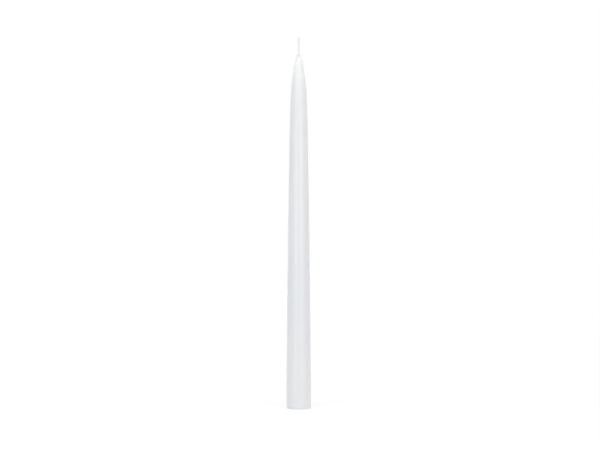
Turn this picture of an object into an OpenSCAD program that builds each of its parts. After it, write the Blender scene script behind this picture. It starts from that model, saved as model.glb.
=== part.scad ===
// Taper candle: a solid wax taper, drawn round a flat plaited cotton wick.
// The origin is at the middle of the butt's flat end, and +Z runs up the wick.

/* [Wax] */
// Length of the wax, from the flat end of the butt to the rim round the wick
wax_h = 305; // [200:1:450]
// Diameter of the butt, which stands in the cup of a candle holder
butt_d = 21.4; // [18:0.1:30]
// Length of the straight butt, below the taper
butt_h = 22; // [10:1:40]
// Rounding of the edge of the flat end
butt_edge_r = 0.4; // [0.2:0.1:2]
// Diameter that the tapering sides aim for at the tip, before the nose rounds them in
shoulder_d = 13.3; // [8:0.1:17]
// How far the sides bow out half-way up the taper
belly = 0.44; // [0:0.02:1]
// Length of the rounded nose, with the point that the rim cuts off
nose_h = 52; // [20:1:120]
// Fullness of the nose: 2 is half an ellipse, and more is blunter
nose_fullness = 2; // [1.4:0.1:4]
// Width of the flat rim of wax round the wick
rim_w = 0.35; // [0.2:0.05:1.5]

/* [Wick] */
// Width of the flat plait
wick_w = 1.7; // [1.4:0.1:3]
// Thickness of the flat plait
wick_t = 0.9; // [0.7:0.05:1.2]
// Length of the wick that stands free above the rim
wick_free_h = 16.5; // [6:0.5:40]
// Width of each of the plait's strands
strand_w = 0.75; // [0.4:0.05:0.9]
// Thickness of each strand
strand_t = 0.42; // [0.3:0.02:0.6]
// Height in which a strand crosses the plait and comes back
plait_pitch = 7; // [4:0.5:12]
// Length of the loosened plait at the cut end
cut_end_h = 2.5; // [1:0.5:5]
// Share by which the loosened plait is wider at the very end
cut_end_spread = 0.4; // [0:0.05:0.6]

/* [Fit] */
// Gap all round between the wick and its channel in the wax
wick_gap = 0.02; // [0.01:0.01:0.05]

/* [Hidden] */
// Sides of the turned wax
$fn = 96;
// Steps of the outline along the nose, the tapering sides and the rounded edge
nose_steps = 28;
taper_steps = 14;
edge_steps = 6;
// Sides of a round end of the plait's section, and of a strand
section_sides = 32;
strand_sides = 10;
// Number of strands in the plait, and the steps of a strand in one pitch
strand_count = 3;
pitch_steps = 13;
// Depth to which the free strands are rooted in the waxed plait
strand_root_h = 0.5;
// Thickness of the slices that a strand is lofted through
slice_h = 0.05;
// How far a cut runs past the faces that it opens
cut_past = 1;
butt_r = butt_d / 2;
taper_h = wax_h - butt_h;
channel_w = wick_w + 2 * wick_gap;
channel_t = wick_t + 2 * wick_gap;
rim_r = channel_w / 2 + rim_w;
// Length of the nose's point, which ends where the nose is as wide as the rim
point_h = nose_h * (1 - pow(1 - pow(2 * rim_r / shoulder_d, nose_fullness), 1 / nose_fullness));
rounded_h = nose_h - point_h;

// Radius of the tapering sides at a depth below the rim, before the nose rounds them in
function side_r(depth) =
    let (share = depth / taper_h)
    shoulder_d / 2 + (butt_d - shoulder_d) / 2 * share + 4 * belly * share * (1 - share);

// Share of the sides' radius that the nose leaves at a depth below the rim
function nose_share(depth) =
    let (to_go = max(0, 1 - (depth + point_h) / nose_h))
    pow(1 - pow(to_go, nose_fullness), 1 / nose_fullness);

// A point of the outline, at a depth below the rim
function wax_point(depth) = [side_r(depth) * nose_share(depth), wax_h - depth];

// Half of the wax in section, from the middle of the flat end round to the middle of the tip
function wax_outline() = concat(
    [[0, 0]],
    [
        for (i = [0 : edge_steps])
        let (angle = 90 * i / edge_steps)
        [butt_r - butt_edge_r * (1 - sin(angle)), butt_edge_r * (1 - cos(angle))]
    ],
    [[butt_r, butt_h]],
    [for (i = [1 : taper_steps]) wax_point(taper_h + (rounded_h - taper_h) * i / taper_steps)],
    [for (i = [nose_steps - 1 : -1 : 0]) wax_point(rounded_h * pow(i / nose_steps, 2))],
    [[0, wax_h]]
);

// Middle of a strand at a height above the rim: it weaves from side to side, and in and out
function strand_middle(turn, height) =
    let (
        angle = turn + 360 * height / plait_pitch,
        loose = max(0, 1 - (wick_free_h - height) / cut_end_h),
        spread = 1 + cut_end_spread * loose
    )
    [
        spread * (wick_w - strand_w) / 2 * sin(angle),
        spread * (wick_t - strand_t) / 2 * sin(2 * angle),
        wax_h + height
    ];

// Section of the pressed plait: a flat band with round sides
module plait_section(width, thickness) {
    square([width - thickness, thickness], center = true);
    for (side = [-1, 1])
        translate([side * (width - thickness) / 2, 0])
            circle(d = thickness, $fn = section_sides);
}

// A thin slice of a strand, with its top face at the given height above the rim
module strand_slice(turn, height) {
    translate(strand_middle(turn, height) - [0, 0, slice_h])
        scale([strand_w, strand_t, 1])
            cylinder(d = 1, h = slice_h, $fn = strand_sides);
}

// One strand of the free plait, from its root in the waxed plait to the cut end
module strand(turn) {
    strand_h = strand_root_h + wick_free_h;
    steps = ceil(strand_h / plait_pitch * pitch_steps);
    for (i = [1 : steps])
        hull() {
            strand_slice(turn, strand_h * (i - 1) / steps - strand_root_h);
            strand_slice(turn, strand_h * i / steps - strand_root_h);
        }
}

module wax_body() {
    color("whitesmoke")
        difference() {
            rotate_extrude()
                polygon(wax_outline());
            translate([0, 0, -cut_past])
                linear_extrude(wax_h + 2 * cut_past)
                    plait_section(channel_w, channel_t);
        }
}

module wick() {
    color("ivory") {
        linear_extrude(wax_h)
            plait_section(wick_w, wick_t);
        for (i = [0 : strand_count - 1])
            strand(360 * i / strand_count);
    }
}

wax_body();
wick();
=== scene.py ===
"""Taper candle: a white wax taper drawn round a plaited cotton wick, on a white table."""

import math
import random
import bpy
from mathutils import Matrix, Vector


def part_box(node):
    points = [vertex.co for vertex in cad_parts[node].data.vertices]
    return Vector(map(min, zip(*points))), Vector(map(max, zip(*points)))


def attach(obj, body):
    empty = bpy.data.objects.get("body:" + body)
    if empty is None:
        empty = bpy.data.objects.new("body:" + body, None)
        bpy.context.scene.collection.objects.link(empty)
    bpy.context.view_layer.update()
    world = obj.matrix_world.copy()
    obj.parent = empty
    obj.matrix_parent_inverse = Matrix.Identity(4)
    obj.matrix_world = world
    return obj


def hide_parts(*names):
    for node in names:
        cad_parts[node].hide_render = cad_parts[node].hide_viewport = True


bl_info = {
    "name": "Taper Candle",
    "version": (1, 0, 0),
    "blender": (4, 5, 0),
    "location": "View3D > Sidebar > Candle",
    "description": "Models a wax taper with its plaited wick, and sets a plain white stage round it",
    "category": "Add Mesh",
}

from typing import NamedTuple

import bpy
from bpy.props import FloatProperty, FloatVectorProperty, IntProperty, PointerProperty
from mathutils import Vector

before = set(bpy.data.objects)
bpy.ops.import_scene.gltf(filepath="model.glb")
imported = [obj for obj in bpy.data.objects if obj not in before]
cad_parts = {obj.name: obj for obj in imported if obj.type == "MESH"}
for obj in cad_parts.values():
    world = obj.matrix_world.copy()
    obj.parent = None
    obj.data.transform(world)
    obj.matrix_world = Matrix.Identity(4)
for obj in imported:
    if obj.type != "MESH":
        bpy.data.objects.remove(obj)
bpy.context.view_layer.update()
WAX_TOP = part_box("wax_body")[1]
WICK_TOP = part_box("wick")[1]
MM = 0.001


# Sizes and colours

class WaxSettings(bpy.types.PropertyGroup):
    """Sizes and colours of the wax taper."""

    height: FloatProperty(
        name="Height", description="Height of the wax, from the flat end to the rim round the wick",
        default=WAX_TOP.z, unit="LENGTH",
    )
    butt_radius: FloatProperty(
        name="Butt radius", description="Radius of the straight butt", default=WAX_TOP.x, unit="LENGTH",
    )
    butt_height: FloatProperty(
        name="Butt height", description="Height of the straight butt", default=22 * MM, unit="LENGTH",
    )
    edge_radius: FloatProperty(
        name="Edge radius", description="Rounding of the edge of the flat end",
        default=0.4 * MM, unit="LENGTH",
    )
    shoulder_radius: FloatProperty(
        name="Shoulder radius", description="Radius that the tapering sides aim for at the tip",
        default=6.65 * MM, unit="LENGTH",
    )
    belly: FloatProperty(
        name="Belly", description="How far the sides bow out half-way up the taper",
        default=0.44 * MM, unit="LENGTH",
    )
    nose_height: FloatProperty(
        name="Nose height",
        description="Height of the rounded nose, with the point that the rim cuts off",
        default=52 * MM, unit="LENGTH",
    )
    nose_fullness: FloatProperty(
        name="Nose fullness", description="2 is half an ellipse, and more is blunter", default=2.0,
    )
    rim_width: FloatProperty(
        name="Rim width", description="Width of the wax round the wick at the rim",
        default=0.35 * MM, unit="LENGTH",
    )
    collar_height: FloatProperty(
        name="Collar height", description="How far the wax climbs the wick above the rim",
        default=0.14 * MM, unit="LENGTH",
    )
    # Painted light: over this height below the rim the wax goes over to the paler nose colour.
    nose_light_height: FloatProperty(
        name="Pale height", description="Height of the paler wax at the nose",
        default=36 * MM, unit="LENGTH",
    )
    # Over this height the tip is rougher and less glossy, and has painted shade in its greyer colour.
    tip_height: FloatProperty(
        name="Tip height", description="Height of the tip that the wick darkens",
        default=6 * MM, unit="LENGTH",
    )
    # Painted light: below this height the wax takes the paler foot colour, which stands in for light
    # that the white table throws up onto the flat end and its edge.
    foot_light_height: FloatProperty(
        name="Foot height", description="Height of the paler edge at the flat end",
        default=2 * MM, unit="LENGTH",
    )
    waviness: FloatProperty(
        name="Waviness", description="How far the drawn wax strays from a true taper",
        default=0.07 * MM, unit="LENGTH",
    )
    sides: IntProperty(name="Sides", description="Number of sides of the turned wax", default=128)
    # Painted light: this colour is paler than the butt's only to stand in for light thrown up from the
    # white table.
    foot_light_colour: FloatVectorProperty(
        name="Foot colour", description="Colour of the trimmed flat end and its edge", subtype="COLOR",
        default=(0.93, 0.934, 0.946), min=0, max=1,
    )
    # Painted light and shade: the butt, lower and upper colours are lighter or darker only to stand in
    # for how the lamps and the table light the wax along its height.
    butt_shading_colour: FloatVectorProperty(
        name="Butt colour", description="Colour of the wax at the butt", subtype="COLOR",
        default=(0.838, 0.842, 0.856), min=0, max=1,
    )
    lower_shading_colour: FloatVectorProperty(
        name="Lower colour", description="Colour of the wax a third of the way up", subtype="COLOR",
        default=(0.784, 0.799, 0.821), min=0, max=1,
    )
    upper_shading_colour: FloatVectorProperty(
        name="Upper colour", description="Colour of the wax two thirds of the way up", subtype="COLOR",
        default=(0.793, 0.8, 0.814), min=0, max=1,
    )
    # Painted light: the nose's paler colour stands in for light from above and light through the thin
    # wax.
    nose_light_colour: FloatVectorProperty(
        name="Nose colour", description="Colour of the thinner wax at the nose", subtype="COLOR",
        default=(0.846, 0.86, 0.842), min=0, max=1,
    )
    # Painted shade: the tip's greyer colour stands in for the wick's shade seen through the thin wax,
    # and takes back lamp light on the upward-facing tip.
    tip_shade_colour: FloatVectorProperty(
        name="Tip colour", description="Colour of the wax round the wick", subtype="COLOR",
        default=(0.8, 0.811, 0.8), min=0, max=1,
    )


class WickSettings(bpy.types.PropertyGroup):
    """Sizes and colour of the plaited wick."""

    top: FloatProperty(
        name="Top", description="Height of the wick's cut end", default=WICK_TOP.z, unit="LENGTH",
    )
    width: FloatProperty(
        name="Width", description="Width of the flat plait", default=1.7 * MM, unit="LENGTH",
    )
    thickness: FloatProperty(
        name="Thickness", description="Thickness of the flat plait", default=0.9 * MM, unit="LENGTH",
    )
    gap: FloatProperty(
        name="Gap", description="Gap between the wick and its channel", default=0.02 * MM, unit="LENGTH",
    )
    strand_width: FloatProperty(
        name="Strand width", description="Width of one strand", default=0.75 * MM, unit="LENGTH",
    )
    strand_thickness: FloatProperty(
        name="Strand thickness", description="Thickness of one strand", default=0.42 * MM, unit="LENGTH",
    )
    pitch: FloatProperty(
        name="Pitch", description="Height in which a strand crosses the plait and comes back",
        default=7 * MM, unit="LENGTH",
    )
    root: FloatProperty(
        name="Root", description="Depth to which the strands are rooted in the waxed plait",
        default=0.5 * MM, unit="LENGTH",
    )
    strands: IntProperty(name="Strands", description="Number of strands in the plait", default=3)
    yarns: IntProperty(name="Yarns", description="Number of yarns twisted into a strand", default=6)
    yarn_share: FloatProperty(
        name="Yarn share", description="Size of one yarn as a share of its strand's size", default=0.36,
    )
    twist_pitch: FloatProperty(
        name="Twist pitch", description="Height of one turn of the yarns in a strand",
        default=3.4 * MM, unit="LENGTH",
    )
    cut_end_height: FloatProperty(
        name="Cut end height", description="Length of the loosened plait at the cut end",
        default=2.5 * MM, unit="LENGTH",
    )
    cut_end_spread: FloatProperty(
        name="Cut end spread", description="Share by which the loosened plait is wider at its end",
        default=0.4,
    )
    fray_height: FloatProperty(
        name="Fray height", description="Length over which the yarns fray into loose fibres",
        default=3.4 * MM, unit="LENGTH",
    )
    fibre_width: FloatProperty(
        name="Fibre width", description="Width of a loose fibre", default=0.032 * MM, unit="LENGTH",
    )
    fibres: IntProperty(name="Fibres", description="Number of loose fibres at the cut end", default=95)
    strays: IntProperty(name="Strays", description="Number of stray fibres along the plait", default=60)
    soaked_height: FloatProperty(
        name="Soaked height", description="Height above the rim to which wax darkens the cotton",
        default=1.0 * MM, unit="LENGTH",
    )
    colour: FloatVectorProperty(
        name="Cotton colour", description="Colour of the bleached cotton", subtype="COLOR",
        default=(0.852, 0.85, 0.845), min=0, max=1,
    )


class StageSettings(bpy.types.PropertyGroup):
    """Camera, light and table."""

    distance: FloatProperty(
        name="Camera distance", description="Distance of the camera from the candle's axis",
        default=1.45, unit="LENGTH",
    )
    eye_height: FloatProperty(
        name="Eye height", description="Height of the camera above the table",
        default=158.4 * MM, unit="LENGTH",
    )
    eye_side: FloatProperty(
        name="Eye side", description="How far the camera stands to the right of the candle",
        default=1.1 * MM, unit="LENGTH",
    )
    frame_width: FloatProperty(
        name="Frame width", description="Width that the picture takes in at the candle's axis",
        default=519.2 * MM, unit="LENGTH",
    )
    room_level: FloatProperty(
        name="Room level", description="Strength of the even light of the room", default=0.718,
    )
    left_level: FloatProperty(
        name="Left strip level", description="Power of the left strip light, in watts", default=0.83,
    )
    right_level: FloatProperty(
        name="Right strip level", description="Power of the right strip light, in watts", default=0.95,
    )
    strip_turn: FloatProperty(
        name="Strip turn", description="Turn of each strip light about the candle, away from the camera",
        default=math.radians(30), unit="ROTATION",
    )
    top_level: FloatProperty(
        name="Top level", description="Power of the light above the front of the candle, in watts",
        default=3.1,
    )
    front_level: FloatProperty(
        name="Front level", description="Power of the softbox above the camera, in watts",
        default=0.25,
    )
    shadow_share: FloatProperty(
        name="Shadow share", description="How much of the table's own light and shadow the camera sees",
        default=0.35, min=0, max=0.9,
    )
    near_light: FloatProperty(
        name="Near light", description="Brightness of the lit table where it is brightest",
        default=0.795,
    )
    far_light: FloatProperty(
        name="Far light", description="Brightness of the lit table far from the candle", default=0.575,
    )


# Modelling by rings

# Faces that meet at less than this angle are smoothed into each other
SMOOTH_ANGLE = math.radians(50)


class Ring(NamedTuple):
    """One ring of a drawn shape: its middle, and half its size along X and Y."""

    middle: Vector
    half_x: float
    half_y: float


def shares(steps):
    """Even shares of a stretch: one at the end of each of its steps."""
    return [step / steps for step in range(1, steps + 1)]


def between(start, end, share):
    """The value at a share of the way from start to end."""
    return start + (end - start) * share


def draw_rings(name, sides, rings):
    """Models an open tube from a circle, each next ring extruded, moved and resized to its place."""
    bpy.ops.object.select_all(action="DESELECT")
    last = rings[0]
    bpy.ops.mesh.primitive_circle_add(vertices=sides, radius=last.half_x, fill_type="NOTHING")
    piece = bpy.context.object
    piece.name = name
    piece.data.name = name
    bpy.ops.object.mode_set(mode="EDIT")
    bpy.ops.transform.resize(value=(1, last.half_y / last.half_x, 1))
    bpy.ops.transform.translate(value=last.middle)
    for ring in rings[1:]:
        bpy.ops.mesh.extrude_edges_move(TRANSFORM_OT_translate={"value": ring.middle - last.middle})
        growth = (ring.half_x / last.half_x, ring.half_y / last.half_y, 1)
        bpy.ops.transform.resize(value=growth, center_override=ring.middle)
        last = ring
    bpy.ops.object.mode_set(mode="OBJECT")
    return piece


def close_ends(piece, bridge):
    """Closes a tube's two open ends: each with a cap, or both with a bridge down its middle."""
    bpy.context.view_layer.objects.active = piece
    bpy.ops.object.mode_set(mode="EDIT")
    bpy.ops.mesh.select_mode(type="EDGE")
    bpy.ops.mesh.select_all(action="DESELECT")
    bpy.ops.mesh.select_non_manifold()
    if bridge:
        bpy.ops.mesh.bridge_edge_loops()
    else:
        bpy.ops.mesh.fill_holes(sides=0)
    bpy.ops.mesh.select_all(action="SELECT")
    bpy.ops.mesh.normals_make_consistent(inside=False)
    bpy.ops.object.mode_set(mode="OBJECT")


def join(name, pieces):
    """Joins pieces into the first one, which takes the name."""
    bpy.ops.object.select_all(action="DESELECT")
    for piece in pieces:
        piece.select_set(True)
    bpy.context.view_layer.objects.active = pieces[0]
    bpy.ops.object.join()
    pieces[0].name = name
    pieces[0].data.name = name
    return pieces[0]


def finish_piece(piece, node, material):
    """Smooths a finished piece, dresses it and lets it stand for its CAD node."""
    bpy.ops.object.select_all(action="DESELECT")
    piece.select_set(True)
    bpy.context.view_layer.objects.active = piece
    bpy.ops.object.shade_smooth_by_angle(angle=SMOOTH_ANGLE)
    piece.data.materials.clear()
    piece.data.materials.append(material)
    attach(piece, "root")
    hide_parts(node)


# Shader building

class Value:
    """An output of a node. Arithmetic on it adds Math nodes."""

    def __init__(self, nodes, socket):
        self.nodes = nodes
        self.socket = socket

    def math(self, operation, first, second):
        return self.nodes.add("ShaderNodeMath", {"operation": operation}, {0: first, 1: second})

    def __add__(self, other):
        return self.math("ADD", self, other)

    def __radd__(self, other):
        return self.math("ADD", other, self)

    def __sub__(self, other):
        return self.math("SUBTRACT", self, other)

    def __rsub__(self, other):
        return self.math("SUBTRACT", other, self)

    def __mul__(self, other):
        return self.math("MULTIPLY", self, other)

    def __rmul__(self, other):
        return self.math("MULTIPLY", other, self)


class Nodes:
    """A node tree that is being filled."""

    def __init__(self, tree):
        self.tree = tree
        tree.nodes.clear()

    def add(self, kind, settings=None, inputs=None, output=0):
        """Adds a node: its settings first, then the values or links of its sockets."""
        node = self.tree.nodes.new(kind)
        for name, value in (settings or {}).items():
            setattr(node, name, value)
        for name, value in (inputs or {}).items():
            if isinstance(value, Value):
                self.tree.links.new(value.socket, node.inputs[name])
            else:
                node.inputs[name].default_value = value
        return Value(self, node.outputs[output]) if node.outputs else None


# Sockets of a Mix node that mixes colours: its share, its two colours and its result
MIX_SHARE, MIX_FIRST, MIX_SECOND, MIX_RESULT = 0, 6, 7, 2


def new_material(name):
    """A material with an empty node tree, and the nodes to fill it."""
    material = bpy.data.materials.new(name)
    material.use_nodes = True
    return material, Nodes(material.node_tree)


def opaque(colour):
    """A colour as a colour socket takes it."""
    return (*colour, 1)


def mixed(nodes, share, first, second):
    """The first colour where the share is 0, going over to the second where it is 1."""
    inputs = {MIX_SHARE: share, MIX_FIRST: first, MIX_SECOND: second}
    return nodes.add("ShaderNodeMix", {"data_type": "RGBA"}, inputs, output=MIX_RESULT)


def shaded(nodes, colour, shade):
    """A colour made lighter or darker by a factor."""
    return nodes.add("ShaderNodeVectorMath", {"operation": "SCALE"}, {"Vector": colour, "Scale": shade})


def rise(nodes, value, low, high):
    """Goes smoothly from 0, where the value is low, to 1, where it is high."""
    inputs = {"Value": value, "From Min": low, "From Max": high}
    return nodes.add("ShaderNodeMapRange", {"interpolation_type": "SMOOTHSTEP"}, inputs)


def noise(nodes, place, scale, detail):
    """Grey noise of a scale in cells per metre."""
    return nodes.add("ShaderNodeTexNoise", inputs={"Vector": place, "Scale": scale, "Detail": detail})


def stretched(nodes, place, scale):
    """Object coordinates scaled by axis, so that a pattern on them is drawn out."""
    return nodes.add("ShaderNodeMapping", inputs={"Vector": place, "Scale": scale})


def swing(pattern, reach):
    """A pattern from 0 to 1 as a swing about 0, over the reach from end to end."""
    return (pattern - 0.5) * reach


# Scales of the wax's patterns, in cells per metre: clouds, streaks along the draw, grain, tiny pits,
# and the marks of the blade that trimmed the flat end
CLOUD_SCALE, GRAIN_SCALE, PIT_SCALE = 55, 2600, 140
STREAK_SCALE, TRIM_SCALE = (900, 900, 12), (50, 1300, 1)
# Depths of the patterns as shares of the relief, and of the relief itself
CLOUD_DEPTH, STREAK_DEPTH, GRAIN_DEPTH, PIT_DEPTH, TRIM_DEPTH = 0.6, 0.5, 0.3, 2.0, 4.0
WAX_RELIEF = 0.06 * MM
# Radii of a pit's floor and of its rim, in cells
PIT_FLOOR, PIT_RIM = 0.02, 0.055
# How far the clouds and the streaks swing the colour, and the clouds and the grain the roughness
CLOUD_TINT, STREAK_TINT, CLOUD_GLOSS, GRAIN_GLOSS = 0.035, 0.03, 0.1, 0.05
# Roughness of the body, how much rougher the tip is, and how much of its glossy coat the tip lacks
WAX_ROUGHNESS, TIP_DULL, TIP_COAT_LOSS = 0.3, 0.2, 0.6
# Shares of the height at which the wax has its lower and its upper colour, which are painted light and
# shade
LOWER_SHARE, UPPER_SHARE = 1 / 3, 2 / 3


def wax_finish(wax):
    """White wax: faintly clouded, satin and dull at the tip, with painted light and shade along its
    height: paler at the foot and the nose, darker between and greyer at the tip.
    """
    material, nodes = new_material("White wax")
    place = nodes.add("ShaderNodeTexCoord", output="Object")
    height = nodes.add("ShaderNodeSeparateXYZ", inputs={0: place}, output="Z")
    tip = rise(nodes, height, wax.height - wax.tip_height, wax.height)
    # Painted light and shade: the colour goes from the paler foot through the butt, lower and upper
    # colours to the paler nose and the greyer tip.
    shading_tint = opaque(wax.foot_light_colour)
    lower, upper = wax.height * LOWER_SHARE, wax.height * UPPER_SHARE
    for share, colour in (
        (rise(nodes, height, 0, wax.foot_light_height), wax.butt_shading_colour),
        (rise(nodes, height, 0, lower), wax.lower_shading_colour),
        (rise(nodes, height, lower, upper), wax.upper_shading_colour),
        (rise(nodes, height, wax.height - wax.nose_light_height, wax.height), wax.nose_light_colour),
        (tip, wax.tip_shade_colour),
    ):
        shading_tint = mixed(nodes, share, shading_tint, opaque(colour))
    clouds = noise(nodes, place, CLOUD_SCALE, detail=3)
    streaks = noise(nodes, stretched(nodes, place, STREAK_SCALE), scale=1, detail=3)
    grain = noise(nodes, place, GRAIN_SCALE, detail=3)
    trim = noise(nodes, stretched(nodes, place, TRIM_SCALE), scale=1, detail=2)
    flat_end = 1 - rise(nodes, height, 0, wax.edge_radius)
    from_pit = nodes.add("ShaderNodeTexVoronoi", inputs={"Vector": place, "Scale": PIT_SCALE})
    relief = clouds * CLOUD_DEPTH + streaks * STREAK_DEPTH + grain * GRAIN_DEPTH
    relief = relief + rise(nodes, from_pit, PIT_FLOOR, PIT_RIM) * PIT_DEPTH
    relief = relief + flat_end * trim * TRIM_DEPTH
    shade = 1 + swing(clouds, CLOUD_TINT) + swing(streaks, STREAK_TINT)
    roughness = WAX_ROUGHNESS + tip * TIP_DULL
    roughness = roughness + swing(clouds, CLOUD_GLOSS) + swing(grain, GRAIN_GLOSS)
    bump = nodes.add(
        "ShaderNodeBump", inputs={"Strength": 0.35, "Distance": WAX_RELIEF, "Height": relief},
    )
    shader = nodes.add(
        "ShaderNodeBsdfPrincipled", {"subsurface_method": "RANDOM_WALK"},
        {
            "Base Color": shaded(nodes, shading_tint, shade),
            "Roughness": roughness,
            "IOR": 1.5,
            "Coat Weight": 1 - tip * TIP_COAT_LOSS,
            "Coat Roughness": 0.3,
            "Subsurface Weight": 1.0,
            "Subsurface Radius": (1.0, 0.92, 0.85),
            "Subsurface Scale": 2.5 * MM,
            "Normal": bump,
        },
    )
    nodes.add("ShaderNodeOutputMaterial", inputs={"Surface": shader})
    return material


# Scales of the cotton's fibres, drawn out along the wick, and of its uneven priming, in cells per metre
FIBRE_SCALE, PRIMING_SCALE = (22000, 22000, 1400), 700
FIBRE_RELIEF = 0.03 * MM
# Shade of the soaked foot, what dry cotton adds to it, and how far the fibres and the priming change it
SOAKED_SHADE, DRY_SHADE, FIBRE_SHADE, PRIMING_SHADE = 0.5, 0.4, 0.2, 0.12
# Roughness of the cotton, and how far the priming swings it
COTTON_ROUGHNESS, PRIMING_GLOSS = 0.6, 0.3


def cotton_finish(wick, foot):
    """Bleached cotton, primed with wax: fine upright fibres, an uneven sheen and a soaked foot."""
    material, nodes = new_material("Primed cotton")
    place = nodes.add("ShaderNodeTexCoord", output="Object")
    height = nodes.add("ShaderNodeSeparateXYZ", inputs={0: place}, output="Z")
    dry = rise(nodes, height, foot, foot + wick.soaked_height)
    fibres = noise(nodes, stretched(nodes, place, FIBRE_SCALE), scale=1, detail=4)
    priming = noise(nodes, place, PRIMING_SCALE, detail=2)
    shade = SOAKED_SHADE + dry * DRY_SHADE + fibres * FIBRE_SHADE + swing(priming, PRIMING_SHADE)
    bump = nodes.add(
        "ShaderNodeBump", inputs={"Strength": 0.6, "Distance": FIBRE_RELIEF, "Height": fibres},
    )
    shader = nodes.add(
        "ShaderNodeBsdfPrincipled", {},
        {
            "Base Color": shaded(nodes, tuple(wick.colour), shade),
            "Roughness": COTTON_ROUGHNESS + swing(priming, PRIMING_GLOSS),
            "Sheen Weight": 0.3,
            "Sheen Roughness": 0.5,
            "Normal": bump,
        },
    )
    nodes.add("ShaderNodeOutputMaterial", inputs={"Surface": shader})
    return material


# The wax

# Rings along the flat end, its edge, the butt, the tapering sides, the nose and the collar
FLAT_STEPS, EDGE_STEPS, BUTT_STEPS, TAPER_STEPS, NOSE_STEPS, COLLAR_STEPS = 8, 6, 8, 110, 60, 8
# How hollow the collar's outline is: 1 is a straight cone
COLLAR_HOLLOW = 1.5
# Height that the waves leave alone at the foot, and heights in which they fade in and out again
STILL_FOOT, FOOT_FADE, TIP_FADE = 2 * MM, 20 * MM, 25 * MM
WAVE_LENGTH = 45 * MM
# Points nearer the axis than this share of the shoulder's radius are left alone
INNER_SHARE = 0.35


def side_radius(wax, depth):
    """Radius of the tapering sides at a depth below the rim, before the nose rounds them in."""
    share = depth / (wax.height - wax.butt_height)
    taper = between(wax.shoulder_radius, wax.butt_radius, share)
    return taper + 4 * wax.belly * share * (1 - share)


def nose_share(wax, depth, point):
    """Share of the sides' radius that the nose leaves at a depth below the rim."""
    to_go = max(0.0, 1 - (depth + point) / wax.nose_height)
    return (1 - to_go ** wax.nose_fullness) ** (1 / wax.nose_fullness)


def wax_rings(wax, wick):
    """Rings of the wax, from the channel's mouth in the flat end to its mouth round the wick."""
    channel_x = wick.width / 2 + wick.gap
    channel_y = wick.thickness / 2 + wick.gap
    rim = channel_x + wax.rim_width
    cut = (rim / wax.shoulder_radius) ** wax.nose_fullness
    point = wax.nose_height * (1 - (1 - cut) ** (1 / wax.nose_fullness))
    rounded = wax.nose_height - point
    flat = wax.butt_radius - wax.edge_radius

    def circle(radius, z):
        return Ring(Vector((0, 0, z)), radius, radius)

    def at_depth(depth):
        return circle(side_radius(wax, depth) * nose_share(wax, depth, point), wax.height - depth)

    rings = [Ring(Vector((0, 0, 0)), channel_x, channel_y)]
    rings += [circle(between(channel_x, flat, share), 0) for share in shares(FLAT_STEPS)]
    for share in shares(EDGE_STEPS):
        turn = math.pi / 2 * share
        out, up = math.sin(turn), 1 - math.cos(turn)
        rings.append(circle(flat + wax.edge_radius * out, wax.edge_radius * up))
    for share in shares(BUTT_STEPS):
        rings.append(circle(wax.butt_radius, between(wax.edge_radius, wax.butt_height, share)))
    for share in shares(TAPER_STEPS):
        rings.append(at_depth(between(wax.height - wax.butt_height, rounded, share)))
    rings += [at_depth(rounded * (1 - share) ** 2) for share in shares(NOSE_STEPS)]
    for share in shares(COLLAR_STEPS):
        middle = Vector((0, 0, wax.height + wax.collar_height * share))
        hug = (1 - share) ** COLLAR_HOLLOW
        rings.append(Ring(middle, between(channel_x, rim, hug), between(channel_y, rim, hug)))
    return rings


def wave_wax(piece, wax):
    """Strays the drawn sides by a hair from a true taper, and leaves the flat end and the tip alone."""
    sides = piece.vertex_groups.new(name="Sides")
    for vertex in piece.data.vertices:
        foot_weight = (vertex.co.z - STILL_FOOT) / FOOT_FADE
        tip_weight = (wax.height - vertex.co.z) / TIP_FADE
        inner = vertex.co.xy.length < INNER_SHARE * wax.shoulder_radius
        weight = 0.0 if inner else min(1.0, max(0.0, foot_weight), max(0.0, tip_weight))
        sides.add([vertex.index], weight, "REPLACE")
    waves = bpy.data.textures.new("Drawn wax", type="CLOUDS")
    waves.noise_scale = WAVE_LENGTH
    waves.noise_depth = 1
    modifier = piece.modifiers.new("Drawn wax", "DISPLACE")
    modifier.texture = waves
    modifier.texture_coords = "LOCAL"
    modifier.strength = 2 * wax.waviness
    modifier.mid_level = 0.5
    modifier.vertex_group = sides.name
    bpy.context.view_layer.objects.active = piece
    bpy.ops.object.modifier_apply(modifier=modifier.name)


class CANDLE_OT_wax(bpy.types.Operator):
    """Model the wax taper from its flat end to the collar round the wick"""

    bl_idname = "candle.wax"
    bl_label = "Wax"

    def execute(self, context):
        wax = context.scene.candle_wax
        piece = draw_rings("candle_wax", wax.sides, wax_rings(wax, context.scene.candle_wick))
        close_ends(piece, bridge=True)
        wave_wax(piece, wax)
        finish_piece(piece, "wax_body", wax_finish(wax))
        return {"FINISHED"}


# The wick

BAND_SIDES, YARN_SIDES, CORE_SIDES, FIBRE_SIDES = 32, 8, 8, 5
# Height of a ring along a yarn, and the number of rings along a loose fibre
YARN_STEP = 0.28 * MM
FIBRE_STEPS = 4
# Length over which a yarn thins out at its end, and the share of its width that is left there
YARN_THINNING = 0.9 * MM
YARN_END = 0.45
# The dome of the waxed plait in the collar: shares of the plait's size, and heights above its rim
DOME = ((0.85, 0.12 * MM), (0.5, 0.22 * MM))
# Ends of the yarns and roots of the loose fibres, below the cut end, as shares of the fray's height
YARN_ENDS, FIBRE_ROOTS = (0.5, 0.8), (0.75, 1.0)
# Lowest end of a loose fibre, as such a share, and how strongly the ends crowd towards the cut end
FIBRE_END, FIBRE_CROWDING = 0.68, 1.3
# How far loose fibres lean along X and along Y, for each length that they rise
SIDE_LEAN, DEPTH_LEAN = 0.30, 0.24
# How strongly a loose fibre bends over, where 1 is straight, and the share of its width that it loses
FIBRE_BEND, FIBRE_THINNING = 1.4, 0.6
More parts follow.
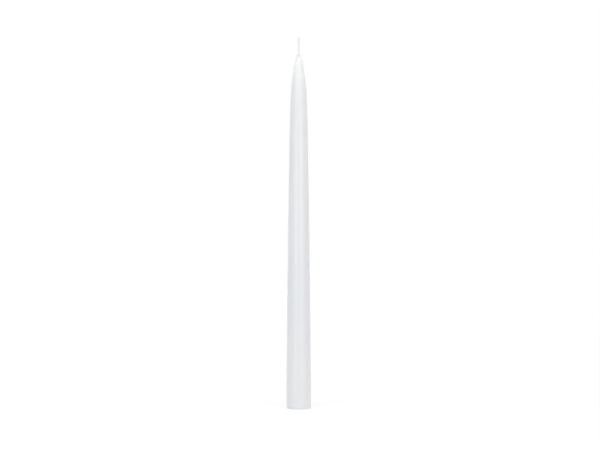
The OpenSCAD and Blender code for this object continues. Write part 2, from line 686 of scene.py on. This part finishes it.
# Roots of the stray fibres as shares of the free height, and how far they swing aside in radians
STRAY_ROOTS, STRAY_SWING = (0.06, 0.78), 0.5
# How far a stray fibre reaches out and up, in millimetres
STRAY_OUT, STRAY_UP = (0.25, 0.7), (0.25, 0.9)
# Start of the random numbers that draw the fray
SEED = 11


def strand_middle(wick, foot, turn, height):
    """Middle of a strand at a height above the rim: it weaves from side to side, and in and out."""
    angle = turn + math.tau * height / wick.pitch
    loose = max(0.0, 1 - (wick.top - foot - height) / wick.cut_end_height)
    spread = 1 + wick.cut_end_spread * loose
    return Vector((
        spread * (wick.width - wick.strand_width) / 2 * math.sin(angle),
        spread * (wick.thickness - wick.strand_thickness) / 2 * math.sin(2 * angle),
        foot + height,
    ))


def yarn_middle(wick, foot, turn, yarn, height):
    """Middle of one yarn, which winds round the middle of its strand."""
    wind = turn + math.tau * (yarn / wick.yarns + height / wick.twist_pitch)
    winding = (1 - wick.yarn_share) / 2
    return strand_middle(wick, foot, turn, height) + Vector((
        winding * wick.strand_width * math.cos(wind),
        winding * wick.strand_thickness * math.sin(wind),
        0,
    ))


def climb(wick, high):
    """Heights of the rings along a yarn, from its root in the waxed plait to its end."""
    steps = math.ceil((high + wick.root) / YARN_STEP)
    return [between(-wick.root, high, share) for share in (0, *shares(steps))]


def yarn_rings(wick, foot, turn, yarn, high):
    """Rings of one yarn, which thins out towards its end."""
    rings = []
    for height in climb(wick, high):
        size = wick.yarn_share / 2 * min(1.0, YARN_END + (high - height) / YARN_THINNING)
        middle = yarn_middle(wick, foot, turn, yarn, height)
        rings.append(Ring(middle, size * wick.strand_width, size * wick.strand_thickness))
    return rings


def core_rings(wick, foot, turn, high):
    """Rings of a strand's core, which fills the space that its yarns wind round."""
    half_x = (1 - wick.yarn_share) / 2 * wick.strand_width
    half_y = (1 - wick.yarn_share) / 2 * wick.strand_thickness
    return [
        Ring(strand_middle(wick, foot, turn, height), half_x, half_y) for height in climb(wick, high)
    ]


def draw_fibre(root, reach, width):
    """Models one loose fibre, which leaves the wick upright, bends over and thins out."""
    rings = []
    for share in (0, *shares(FIBRE_STEPS)):
        lean = share ** FIBRE_BEND
        middle = root + Vector((reach.x * lean, reach.y * lean, reach.z * share))
        radius = width / 2 * (1 - FIBRE_THINNING * share)
        rings.append(Ring(middle, radius, radius))
    return draw_rings("fibre", FIBRE_SIDES, rings)


def draw_band(wick, foot, top):
    """Models the waxed plait in the channel, with a low dome in the collar."""
    rings = [Ring(Vector((0, 0, z)), wick.width / 2, wick.thickness / 2) for z in (0, foot, top)]
    for share, rise_above in DOME:
        rings.append(Ring(
            Vector((0, 0, top + rise_above)), share * wick.width / 2, share * wick.thickness / 2,
        ))
    return draw_rings("band", BAND_SIDES, rings)


def draw_plait(wick, foot, draw):
    """Models the free plait: strands of yarns that end one by one in the frayed end."""
    free = wick.top - foot
    parts = []
    for strand in range(wick.strands):
        turn = math.tau * strand / wick.strands
        ends = [free - wick.fray_height * draw.uniform(*YARN_ENDS) for _ in range(wick.yarns)]
        parts.append(draw_rings("core", CORE_SIDES, core_rings(wick, foot, turn, min(ends))))
        for yarn, high in enumerate(ends):
            parts.append(draw_rings("yarn", YARN_SIDES, yarn_rings(wick, foot, turn, yarn, high)))
    return parts


def draw_fray(wick, foot, draw):
    """Models the loose fibres of the cut end, which start in the yarns and fan out."""
    free = wick.top - foot
    parts = []
    for _ in range(wick.fibres):
        turn = math.tau * draw.randrange(wick.strands) / wick.strands
        yarn = draw.randrange(wick.yarns)
        start = free - wick.fray_height * draw.uniform(*FIBRE_ROOTS)
        end = free - wick.fray_height * FIBRE_END * draw.random() ** FIBRE_CROWDING
        lean_x, lean_y = draw.gauss(0, SIDE_LEAN), draw.gauss(0, DEPTH_LEAN)
        reach = (end - start) * Vector((lean_x, lean_y, 1))
        parts.append(draw_fibre(yarn_middle(wick, foot, turn, yarn, start), reach, wick.fibre_width))
    return parts


def draw_strays(wick, foot, draw):
    """Models the short stray fibres that stand out along the plait."""
    free = wick.top - foot
    parts = []
    for _ in range(wick.strays):
        turn = math.tau * draw.randrange(wick.strands) / wick.strands
        start = draw.uniform(*STRAY_ROOTS) * free
        root = yarn_middle(wick, foot, turn, draw.randrange(wick.yarns), start)
        aim = math.atan2(root.y, root.x) + draw.gauss(0, STRAY_SWING)
        out = draw.uniform(*STRAY_OUT) * MM
        up = draw.uniform(*STRAY_UP) * MM
        reach = Vector((out * math.cos(aim), out * math.sin(aim), up))
        parts.append(draw_fibre(root, reach, wick.fibre_width / 2))
    return parts


class CANDLE_OT_wick(bpy.types.Operator):
    """Model the wick: the pressed plait in the wax, the free plait of yarns and the frayed cut end"""

    bl_idname = "candle.wick"
    bl_label = "Wick"

    def execute(self, context):
        wick = context.scene.candle_wick
        wax = context.scene.candle_wax
        foot = wax.height
        draw = random.Random(SEED)
        parts = [draw_band(wick, foot, foot + wax.collar_height - wick.gap)]
        parts += draw_plait(wick, foot, draw)
        parts += draw_fray(wick, foot, draw)
        parts += draw_strays(wick, foot, draw)
        for part in parts:
            close_ends(part, bridge=False)
        finish_piece(join("candle_wick", parts), "wick", cotton_finish(wick, foot))
        return {"FINISHED"}


# The stage

SENSOR_WIDTH = 36
TABLE_SIZE = 12
TABLE_GAP = 0.05 * MM
TABLE_WHITE = (0.8, 0.8, 0.8)
# Where the lit table is brightest, and how far from there it has its near and its far light
POOL_MIDDLE = (0, -0.3, 0)
NEAR_TABLE, FAR_TABLE = 0.1, 1.75
# How bright the camera sees the table outside the shadow: a hair above white
TABLE_LEVEL = 1.014
# Each strip light's distance from the candle's axis and height, and the lights' sizes
STRIP_DISTANCE, STRIP_HEIGHT, STRIP_SIZE = 0.9, 0.3, (0.1, 0.6)
OVERHEAD_PLACE, OVERHEAD_SIZE = (0, -0.5, 1.15), (0.8, 0.8)
FRONT_PLACE, FRONT_SIZE = (0, -1.6, 0.5), (1.0, 0.9)


def add_area_light(name, place, target, size, power):
    """Adds a soft rectangular light that faces a point."""
    bpy.ops.object.light_add(type="AREA", location=place)
    lamp = bpy.context.object
    lamp.name = name
    lamp.data.shape = "RECTANGLE"
    lamp.data.size, lamp.data.size_y = size
    lamp.data.energy = power
    lamp.rotation_euler = (Vector(target) - Vector(place)).to_track_quat("-Z", "Y").to_euler()
    lamp.visible_camera = False


def seen(nodes):
    """1 where the camera sees a surface, straight or in gloss or glass, and 0 where it only lights."""
    straight = nodes.add("ShaderNodeLightPath", output="Is Camera Ray")
    in_gloss = nodes.add("ShaderNodeLightPath", output="Is Glossy Ray")
    through = nodes.add("ShaderNodeLightPath", output="Is Transmission Ray")
    return straight.math("MAXIMUM", straight.math("MAXIMUM", straight, in_gloss), through)


def white_room(level):
    """An even room light, which the camera and reflections see as plain white."""
    world = bpy.data.worlds.new("White room")
    world.use_nodes = True
    nodes = Nodes(world.node_tree)
    strength = level + seen(nodes) * (1 - level)
    light = nodes.add("ShaderNodeBackground", inputs={"Color": opaque((1, 1, 1)), "Strength": strength})
    nodes.add("ShaderNodeOutputWorld", inputs={"Surface": light})
    bpy.context.scene.world = world


def table_finish(stage):
    """A white table top that keeps a soft shadow, and that the camera sees lifted to white round it."""
    material, nodes = new_material("White table")
    lift = 1 - stage.shadow_share
    place = nodes.add("ShaderNodeTexCoord", output="Object")
    distance = nodes.add(
        "ShaderNodeVectorMath", {"operation": "DISTANCE"}, {0: place, 1: POOL_MIDDLE}, output="Value",
    )
    glow = nodes.add("ShaderNodeMapRange", inputs={
        "Value": distance,
        "From Min": NEAR_TABLE,
        "From Max": FAR_TABLE,
        "To Min": (TABLE_LEVEL - stage.shadow_share * stage.near_light) / lift,
        "To Max": (TABLE_LEVEL - stage.shadow_share * stage.far_light) / lift,
    })
    lit = nodes.add("ShaderNodeBsdfDiffuse", inputs={"Color": opaque(TABLE_WHITE)})
    white = nodes.add("ShaderNodeEmission", inputs={"Color": glow})
    shader = nodes.add("ShaderNodeMixShader", inputs={0: seen(nodes) * lift, 1: lit, 2: white})
    nodes.add("ShaderNodeOutputMaterial", inputs={"Surface": shader})
    return material


def add_table(stage):
    """Adds the table that the candle stands on."""
    bpy.ops.object.select_all(action="DESELECT")
    bpy.ops.mesh.primitive_plane_add(size=TABLE_SIZE, location=(0, 0, -TABLE_GAP))
    table = bpy.context.object
    table.name = "table"
    table.data.materials.append(table_finish(stage))


def add_camera(stage):
    """Adds the camera, which looks level along +Y."""
    place = (stage.eye_side, -stage.distance, stage.eye_height)
    bpy.ops.object.camera_add(location=place, rotation=(math.pi / 2, 0, 0))
    camera = bpy.context.object
    camera.name = "Camera"
    camera.data.sensor_width = SENSOR_WIDTH
    camera.data.lens = SENSOR_WIDTH * stage.distance / stage.frame_width
    bpy.context.scene.camera = camera


class CANDLE_OT_stage(bpy.types.Operator):
    """Set the white table, the room light, the lamps and the camera"""

    bl_idname = "candle.stage"
    bl_label = "Stage"

    def execute(self, context):
        stage = context.scene.candle_stage
        add_table(stage)
        white_room(stage.room_level)
        aim = (0, 0, context.scene.candle_wax.height / 2)
        for name, turn, level in (
            ("Left strip", -stage.strip_turn, stage.left_level),
            ("Right strip", stage.strip_turn, stage.right_level),
        ):
            place = (STRIP_DISTANCE * math.sin(turn), -STRIP_DISTANCE * math.cos(turn), STRIP_HEIGHT)
            add_area_light(name, place, aim, STRIP_SIZE, level)
        add_area_light("Overhead", OVERHEAD_PLACE, aim, OVERHEAD_SIZE, stage.top_level)
        add_area_light("Front softbox", FRONT_PLACE, aim, FRONT_SIZE, stage.front_level)
        add_camera(stage)
        context.scene.view_settings.view_transform = "Standard"
        return {"FINISHED"}


# Sidebar and registration

class CANDLE_PT_panel(bpy.types.Panel):
    """The candle's operators and settings"""

    bl_idname = "CANDLE_PT_panel"
    bl_label = "Taper Candle"
    bl_space_type = "VIEW_3D"
    bl_region_type = "UI"
    bl_category = "Candle"

    def draw(self, context):
        scene = context.scene
        for operator, settings in (
            ("candle.wax", scene.candle_wax),
            ("candle.wick", scene.candle_wick),
            ("candle.stage", scene.candle_stage),
        ):
            box = self.layout.box()
            box.operator(operator)
            for name in settings.__annotations__:
                box.prop(settings, name)


CLASSES = (
    WaxSettings,
    WickSettings,
    StageSettings,
    CANDLE_OT_wax,
    CANDLE_OT_wick,
    CANDLE_OT_stage,
    CANDLE_PT_panel,
)


def register():
    for cls in CLASSES:
        bpy.utils.register_class(cls)
    bpy.types.Scene.candle_wax = PointerProperty(type=WaxSettings)
    bpy.types.Scene.candle_wick = PointerProperty(type=WickSettings)
    bpy.types.Scene.candle_stage = PointerProperty(type=StageSettings)


def unregister():
    del bpy.types.Scene.candle_stage
    del bpy.types.Scene.candle_wick
    del bpy.types.Scene.candle_wax
    for cls in reversed(CLASSES):
        bpy.utils.unregister_class(cls)


def main():
    """Builds the candle and its stage."""
    register()
    bpy.ops.candle.wax()
    bpy.ops.candle.wick()
    bpy.ops.candle.stage()


if __name__ == "__main__":
    main()
